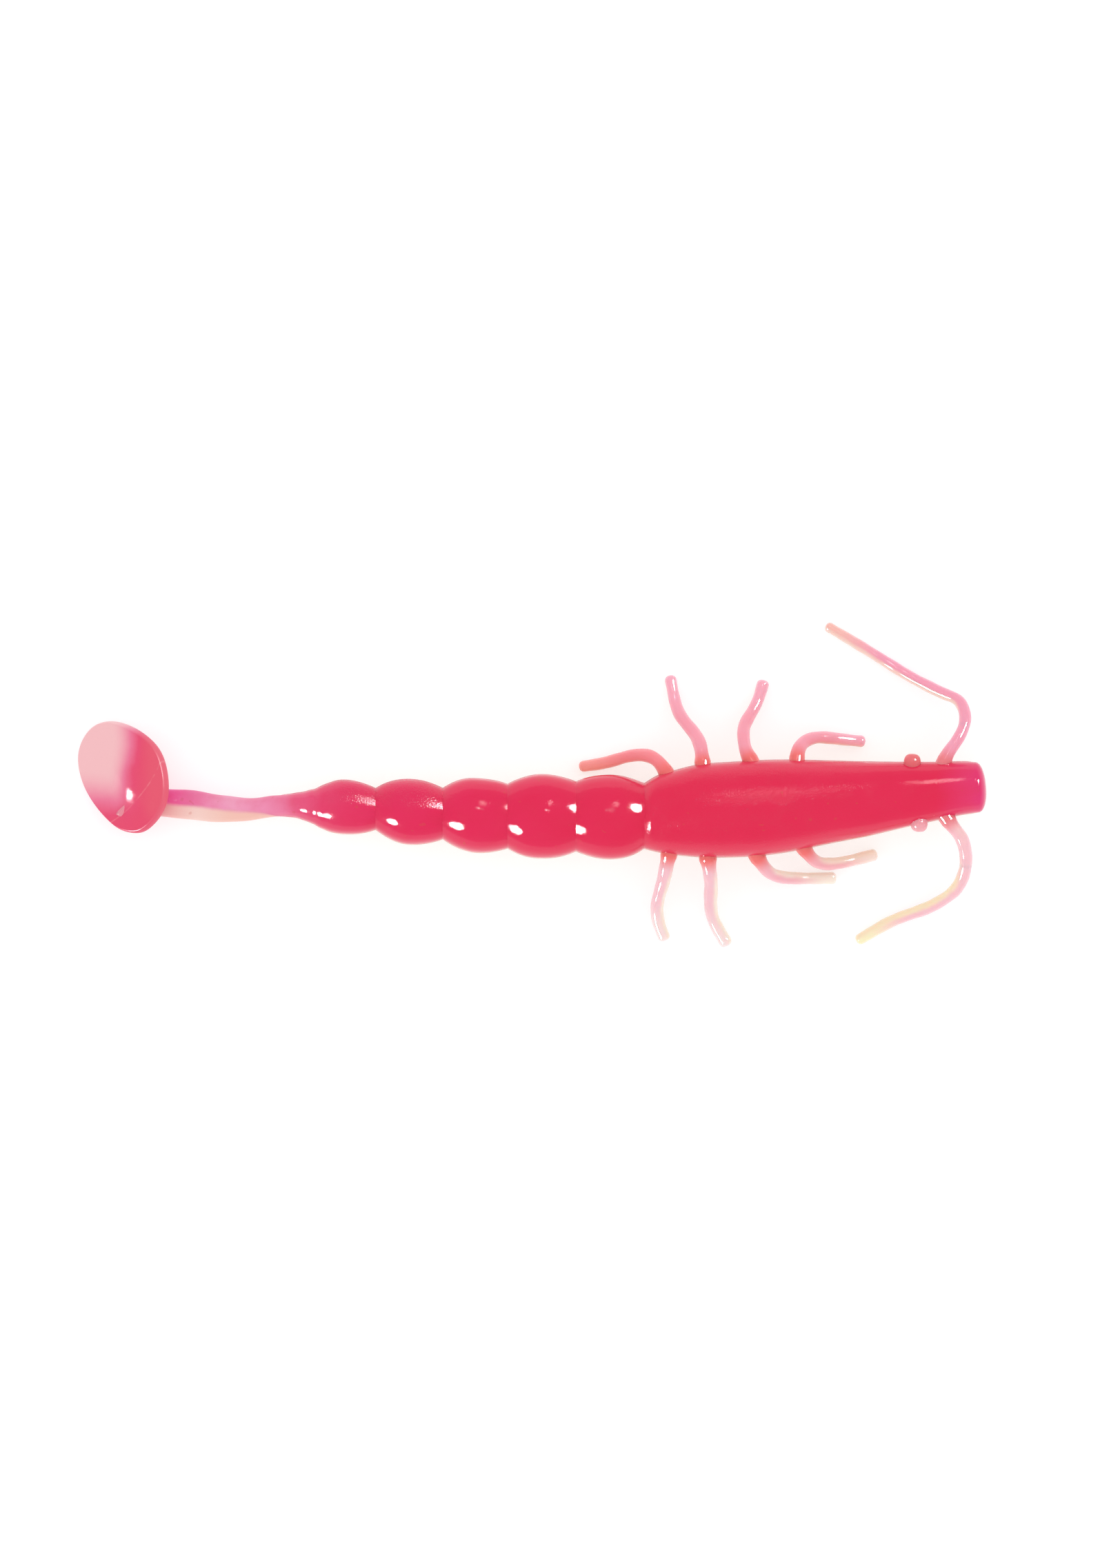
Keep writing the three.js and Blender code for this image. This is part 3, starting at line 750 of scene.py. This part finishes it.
# Colour of the middle, of the end and of the pale side of a leg.
LEG_COLOURS = {
    "left_leg_1": ((254, 148, 156), (255, 164, 160), (255, 180, 158)),
    "left": ((252, 168, 184), (254, 182, 200), (254, 208, 194)),
    "right_leg_3": ((250, 188, 198), (255, 242, 228), (255, 246, 232)),
    "right_leg_4": ((250, 182, 190), (255, 232, 222), (255, 236, 222)),
    "right": ((251, 203, 212), (253, 230, 228), (254, 240, 222)),
}
ROOT_LENGTH = 0.9  # how far a limb's skin reaches into the thorax
BEND_BEFORE, BEND_AFTER = 0.35, 1.7  # lengths before and after a limb's joint; the root is not bent between them
LEG_ROOT, FEELER_ROOT, EYE_ROOT = srgb(250, 126, 124), srgb(244, 140, 146), srgb(232, 84, 92)
for name, (points, root_radius, end_radius, cream) in LEGS.items():
    path = Path([tuple(JOINT[name.replace("leg", "hip")])] + points)
    blunt = 0.95 if name in ("left_leg_1", "left_leg_2") else 0.75
    piece = limb_piece(name.replace("leg", "walking_leg"), path, (-ROOT_LENGTH, path.length),
                       leg_radius(root_radius, end_radius, path.length), cream, root_flare=0.22, blunt=blunt)
    pink, end_pink, pale_edge = LEG_COLOURS.get(name, LEG_COLOURS[name.split("_")[0]])
    colour = limb_colour(LEG_ROOT, srgb(*pink), srgb(*end_pink), srgb(*pale_edge), path.length)
    bend_between(piece, path, 0.0, BEND_AFTER)
    finish_piece(piece, limb_material(name, colour), "leg_pink", name)

# Each feeler: points before and after the elbow, radius at root, elbow and end, the length at which its two
# pieces meet, and the direction of its pale side.
FEELERS = {
    "left_feeler": ([(-3.1, 2.9, 0), (-2.6, 3.6, -0.1), (-2.05, 4.5, -0.4), (-1.72, 5.6, -0.9),
                     (-1.85, 6.5, -1.4)],
                    [(-3.2, 7.65, -2.2), (-4.6, 8.3, -2.7), (-6.2, 9.15, -3.1), (-8, 10.25, -3.35),
                     (-10, 11.5, -3.5), (-12.85, 13.2, -3.55)],
                    (0.51, 0.49, 0.43), 3.3, (-0.45, -0.85, 0.1)),
    "right_feeler": ([(-2.7, -3.3, 0), (-2.1, -4.1, -0.15), (-1.72, -5.2, -0.5), (-1.66, -6.3, -1.0),
                      (-1.9, -7.4, -1.55)],
                     [(-3.4, -9.2, -2.45), (-4.7, -9.92, -2.85), (-6.2, -10.47, -3.15), (-7.8, -11.1, -3.3),
                      (-9, -11.75, -3.38), (-10.3, -12.52, -3.42)],
                     (0.55, 0.53, 0.47), 4.2, (-0.3, 0.8, 0.5)),
}
# Colour of the middle, of the end and of the pale side of a feeler.
FEELER_COLOURS = {
    "left_feeler": ((249, 168, 190), (252, 196, 186), (254, 226, 214)),
    "right_feeler": ((252, 202, 210), (255, 246, 205), (255, 240, 206)),
}
for name, (base, tip, radii, seam, cream) in FEELERS.items():
    root, elbow = JOINT[f"{name}_root"], JOINT[f"{name}_elbow"]
    path = Path([tuple(root)] + base + [tuple(elbow)] + tip)
    elbow_at = float(path.run[np.argmin(np.linalg.norm(path.dense - elbow, axis=1))])
    radius = feeler_radius([0, elbow_at, path.length], radii)
    middle_colour, end_colour, pale_edge = FEELER_COLOURS[name]
    colour = limb_colour(FEELER_ROOT, srgb(*middle_colour), srgb(*end_colour), srgb(*pale_edge),
                         path.length, 0.7, (0.15, 0.8))
    material = limb_material(name, colour)
    phase = RNG.uniform(0, 6.28, 2)
    stalk = limb_piece(f"{name}_stalk", path, (-ROOT_LENGTH, seam), radius, cream, root_flare=0.25,
                       caps=(True, "sharp"), phase=phase)
    bend_between(stalk, path, 0.0, BEND_AFTER, path.at(seam))
    finish_piece(stalk, material, "feeler_pale", f"{name}_base")
    whip = limb_piece(f"{name}_whip", path, (seam, path.length), radius, cream, blunt=0.9,
                      caps=("sharp", True), phase=phase)
    bend_between(whip, path, elbow_at, 1.0)
    finish_piece(whip, material, "feeler_pale", f"{name}_tip")

# Eye nubs: short rounded pegs on the sides of the head, with the colours of their middle and end.
EYES = {
    "left_eye": ((0.05, 1, 0.12), (235, 110, 118), (237, 124, 128)),
    "right_eye": ((-0.05, -1, 0.12), (243, 160, 172), (246, 178, 186)),
}
EYE_RADIUS = 0.72
for name, (way, middle_colour, end_colour) in EYES.items():
    low, high = node_box(name)
    centre = (low + high) / 2
    out = unit(np.array(way, float))
    peg = Path([centre - out * 1.6, centre - out * 0.9, centre - out * 0.2])
    colour = limb_colour(EYE_ROOT, srgb(*middle_colour), srgb(*end_colour), CREAM, 2.0)
    piece = limb_piece(f"{name}_nub", peg, (0, peg.length), leg_radius(EYE_RADIUS, EYE_RADIUS, peg.length),
                       (0, 0, -1), blunt=0.95)
    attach(piece, "head_thorax")
    finish_piece(piece, plastisol(f"plastisol_{name}", colour, (0.1, 0.2), 0.3), "red_back", name)

# ---------------------------------------------------------------- paddle and stem end

TILT = math.radians(28)  # how far the blade leans
PADDLE_AT = np.array([-71.3, 0.85, -1.62])  # the middle of the blade
# Outline of the blade seen from above: x and y.
PADDLE_OUT = [
    (-72.6, 5.47), (-71.4, 5.22), (-70, 4.55), (-68.7, 3.5), (-67.95, 2.1), (-67.65, 0.4), (-67.75, -1.1),
    (-68.3, -2.4), (-69.3, -3.45), (-70.3, -3.78), (-71.5, -3.5), (-72.6, -2.6), (-73.6, -1.4),
    (-74.5, 0.2), (-74.95, 2.0), (-74.75, 3.6), (-73.85, 4.95),
]
# Directions along, across and out of the blade.
ALONG = np.array([math.cos(TILT), 0, math.sin(TILT)])
ACROSS = np.array([0.0, 1.0, 0.0])
UP = np.array([-math.sin(TILT), 0, math.cos(TILT)])
RIM_AROUND = 180  # points round the outline
RIM_START = 0.96  # share of the outline where the rounded rim begins


def paddle_outline():
    """The outline in the plane of the blade, measured from the middle of the paddle."""
    loop = np.array([((x - PADDLE_AT[0]) / math.cos(TILT), y - PADDLE_AT[1]) for x, y in PADDLE_OUT])
    number = np.arange(len(loop) * 3 + 1) - len(loop)
    tripled = np.concatenate([loop, loop, loop, loop[:1]])
    at = np.linspace(0, len(loop), RIM_AROUND, endpoint=False)
    return np.stack([spline(number, tripled[:, c])(at) for c in range(2)], -1)


def paddle_body(u, v):
    """Thickness of the blade and height of the bulge over the ankle, at a point of its face."""
    ridge = np.exp(-(((u - 1.2 + 0.08 * v * v) / 1.7) ** 2))
    bulge = 0.55 * np.exp(-(((u - 0.95) / 1.25) ** 2 + ((v + 0.35) / 1.5) ** 2))
    return 0.95 + 0.85 * ridge, bulge


def paddle_rings():
    """(share of the outline, depth) of each ring: the upper face, the rounded rim, the lower face."""
    upper = [(share, 0) for share in (0.01, 0.12, 0.25, 0.4, 0.55, 0.68, 0.78, 0.86, 0.91, 0.94)]
    rim = [(RIM_START + (1 - RIM_START) * math.sin(turn), (1 - math.cos(turn)) / 2)
           for turn in np.linspace(0, math.pi, 17)]
    lower = [(share, 1) for share in (0.9, 0.85, 0.7, 0.5, 0.3, 0.12, 0.01)]
    return upper + rim + lower


def paddle_grid():
    """Rings and vertex facts of the paddle."""
    outline = paddle_outline()
    rings, facts = [], {"dense": [], "flank": [], "trim": [], "brim": []}
    for share, depth in paddle_rings():
        u, v = outline[:, 0] * share, outline[:, 1] * share
        dome = 0.2 * (1 - share * share)
        thick, bulge = paddle_body(u, v)
        level = 0.35 + dome + bulge * (1 - share**6) * (1 - depth) - depth * thick
        rings.append(PADDLE_AT + u[:, None] * ALONG + v[:, None] * ACROSS + level[:, None] * UP)
        x, y = PADDLE_AT[0] + u * math.cos(TILT), PADDLE_AT[1] + v
        # Thin and pale at the far upper corner, dense towards the stem and the lower edge: partly thickness,
        # partly painted light through the thin corner and painted shade over the stem beneath.
        thick_and_shaded_near_stem = smooth(x + 0.12 * np.sin(1.3 * y) + 0.1 * smooth(y, 3, -1), -72.0, -69.15)
        lower = smooth(-y - 0.12 * (x + 73), -1.5, 3.0)
        facts["dense"].append(1 - (1 - thick_and_shaded_near_stem) * (1 - 0.92 * lower))
        facts["brim"].append(smooth(share, 0.94, 0.99) * np.ones_like(u))
        facts["flank"].append(smooth(x, -69.8, -68.6) * smooth(y, -3.6, -1.5))
        facts["trim"].append(np.hypot(x + 76.8, y - 5.2) - 9.35)
    return np.array(rings), {key: np.array(values) for key, values in facts.items()}


paddle = grid_piece("paddle_blade", *paddle_grid())
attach(paddle, "tail_paddle")
finish_piece(paddle, PADDLE, "paddle_pink", "tail_paddle")


def ankle_grid():
    """The ribbon of the stem runs on, turns up at the ankle and spreads into the underside of the paddle."""
    ribbon_line = [(x, float(centre_y(x)), float(centre_z(x))) for x in (STEM_END, -66, -67, -67.9)]
    turn_up = [(-68.8, -1.22, -2.3), (-69.6, -1.1, -2.12), (-70.3, -0.85, -1.85), (-70.9, -0.5, -1.55)]
    path = Path(ribbon_line + turn_up)
    s = steps(0, path.length, LIMB_STEP)
    theta = angles(STEM_AROUND)
    x = np.maximum(path.at(s)[:, 0], TAPER_TO)
    ribbon, lift = body_point(x[:, None], theta[None, :])
    ways = path.way(s)
    wide_way = unit(np.array([0, 1.0, 0]) - ways * ways[:, 1:2])
    thin_way = np.cross(ways, wide_way)
    far = smooth(s, 2.9, path.length)
    wide = taper_high(x) + far * 0.9
    thin = taper_wide(x) - far * 0.1
    spread = (path.at(s)[:, None] + wide_way[:, None] * (wide[:, None] * np.sin(theta))[..., None]
              + thin_way[:, None] * (thin[:, None] * np.cos(theta))[..., None])
    turned = smooth(s, 0.8, 3.0)[:, None, None]
    facts = {"lift": lift, "cheek": np.cos(theta)[None, :], "rise": np.sin(theta)[None, :]}
    return ribbon * (1 - turned) + spread * turned, facts


ankle = grid_piece("skin_ankle", *ankle_grid(), ("sharp", True))
near(ANKLE[0] + 0.9, ANKLE[1], ANKLE[2])
near(ANKLE[0] - 0.9, ANKLE[1], ANKLE[2])
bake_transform(ankle)
finish_piece(ankle, BODY, "red_back", "stem_rear_back")

# ---------------------------------------------------------------- floor, light and camera

FLOOR_HALF = 3.0
FLOOR_GLOW = 0.54


def add_floor():
    """White table under the bait that glows a little, like a light table."""
    corners = ((-1, -1), (1, -1), (1, 1), (-1, 1))
    mesh = bpy.data.meshes.new("floor")
    mesh.from_pydata([(x * FLOOR_HALF, y * FLOOR_HALF, FLOOR_Z) for x, y in corners], [], [(0, 1, 2, 3)])
    floor = bpy.data.objects.new("floor", mesh)
    bpy.context.scene.collection.objects.link(floor)
    white = Nodes("floor_white")
    white.shader.inputs["Base Color"].default_value = (0.5, 0.5, 0.5, 1)
    white.shader.inputs["Roughness"].default_value = 0.9
    white.shader.inputs["Specular IOR Level"].default_value = 0.1
    white.shader.inputs["Emission Color"].default_value = (1, 1, 1, 1)
    white.shader.inputs["Emission Strength"].default_value = FLOOR_GLOW
    mesh.materials.append(white.material)


def add_world():
    """Even white light, with a dimmer studio in the reflections: dark overhead, brighter round the sides."""
    world = bpy.data.worlds.new("soft_studio")
    bpy.context.scene.world = world
    world.use_nodes = True
    sky = world.node_tree
    background = sky.nodes["Background"]
    background.inputs["Color"].default_value = (1, 1, 1, 1)
    background.inputs["Strength"].default_value = WORLD
    gloss = sky.nodes.new("ShaderNodeBackground")
    where = sky.nodes.new("ShaderNodeTexCoord")
    parts = sky.nodes.new("ShaderNodeSeparateXYZ")
    height = sky.nodes.new("ShaderNodeMapRange")
    ray = sky.nodes.new("ShaderNodeLightPath")
    choice = sky.nodes.new("ShaderNodeMixShader")
    for key, value in (("From Min", 0.05), ("From Max", 0.5), ("To Min", 0.45), ("To Max", 0.08)):
        height.inputs[key].default_value = value
    sky.links.new(where.outputs["Generated"], parts.inputs[0])
    sky.links.new(parts.outputs[2], height.inputs["Value"])
    sky.links.new(height.outputs[0], gloss.inputs["Strength"])
    sky.links.new(ray.outputs["Is Glossy Ray"], choice.inputs[0])
    sky.links.new(background.outputs[0], choice.inputs[1])
    sky.links.new(gloss.outputs[0], choice.inputs[2])
    sky.links.new(choice.outputs[0], sky.nodes["World Output"].inputs["Surface"])


add_floor()
add_world()

LOOK = np.array([-35.17, 0.28, 0.0]) * MM  # the point in the middle of the picture
LAMP_DISTANCE = 0.9
LENS, SENSOR = 400, 36
SHOWN = 0.1294  # height of the picture at the object, in metres


def lamp(name, way, size, power):
    """Lamp seen only in reflections: a disk, or a strip if size is (width, length)."""
    light = bpy.data.lights.new(name, "AREA")
    if isinstance(size, tuple):
        light.shape = "RECTANGLE"
        light.size, light.size_y = size
    else:
        light.shape = "DISK"
        light.size = size
    light.energy = power
    obj = bpy.data.objects.new(name, light)
    way = unit(way)
    obj.location = LOOK + way * LAMP_DISTANCE
    obj.rotation_euler = Vector(way).to_track_quat("Z", "Y").to_euler()
    obj.visible_diffuse = False
    bpy.context.scene.collection.objects.link(obj)


def add_camera():
    """Long lens straight above the bait."""
    data = bpy.data.cameras.new("camera")
    data.sensor_fit = "VERTICAL"
    data.sensor_height = SENSOR
    data.lens = LENS
    data.clip_start = 0.01
    data.clip_end = 10
    camera = bpy.data.objects.new("camera", data)
    camera.location = (float(LOOK[0]), float(LOOK[1]), SHOWN * LENS / SENSOR)
    camera.rotation_euler = (0, 0, 0)
    bpy.context.scene.collection.objects.link(camera)
    bpy.context.scene.camera = camera
    bpy.context.scene.view_settings.view_transform = "Standard"


lamp("key_front_left", (0.66, 0.40, 0.65), 0.31, 26.0)
lamp("fill_rear_right", (-0.70, -0.55, 0.45), 0.31, 28.0)
lamp("nose_strip", (0.10, 0.58, 0.81), (0.05, 0.2), 0.45)
lamp("overhead_left", (0.0, 0.30, 0.95), 0.03, 0.25)
add_camera()
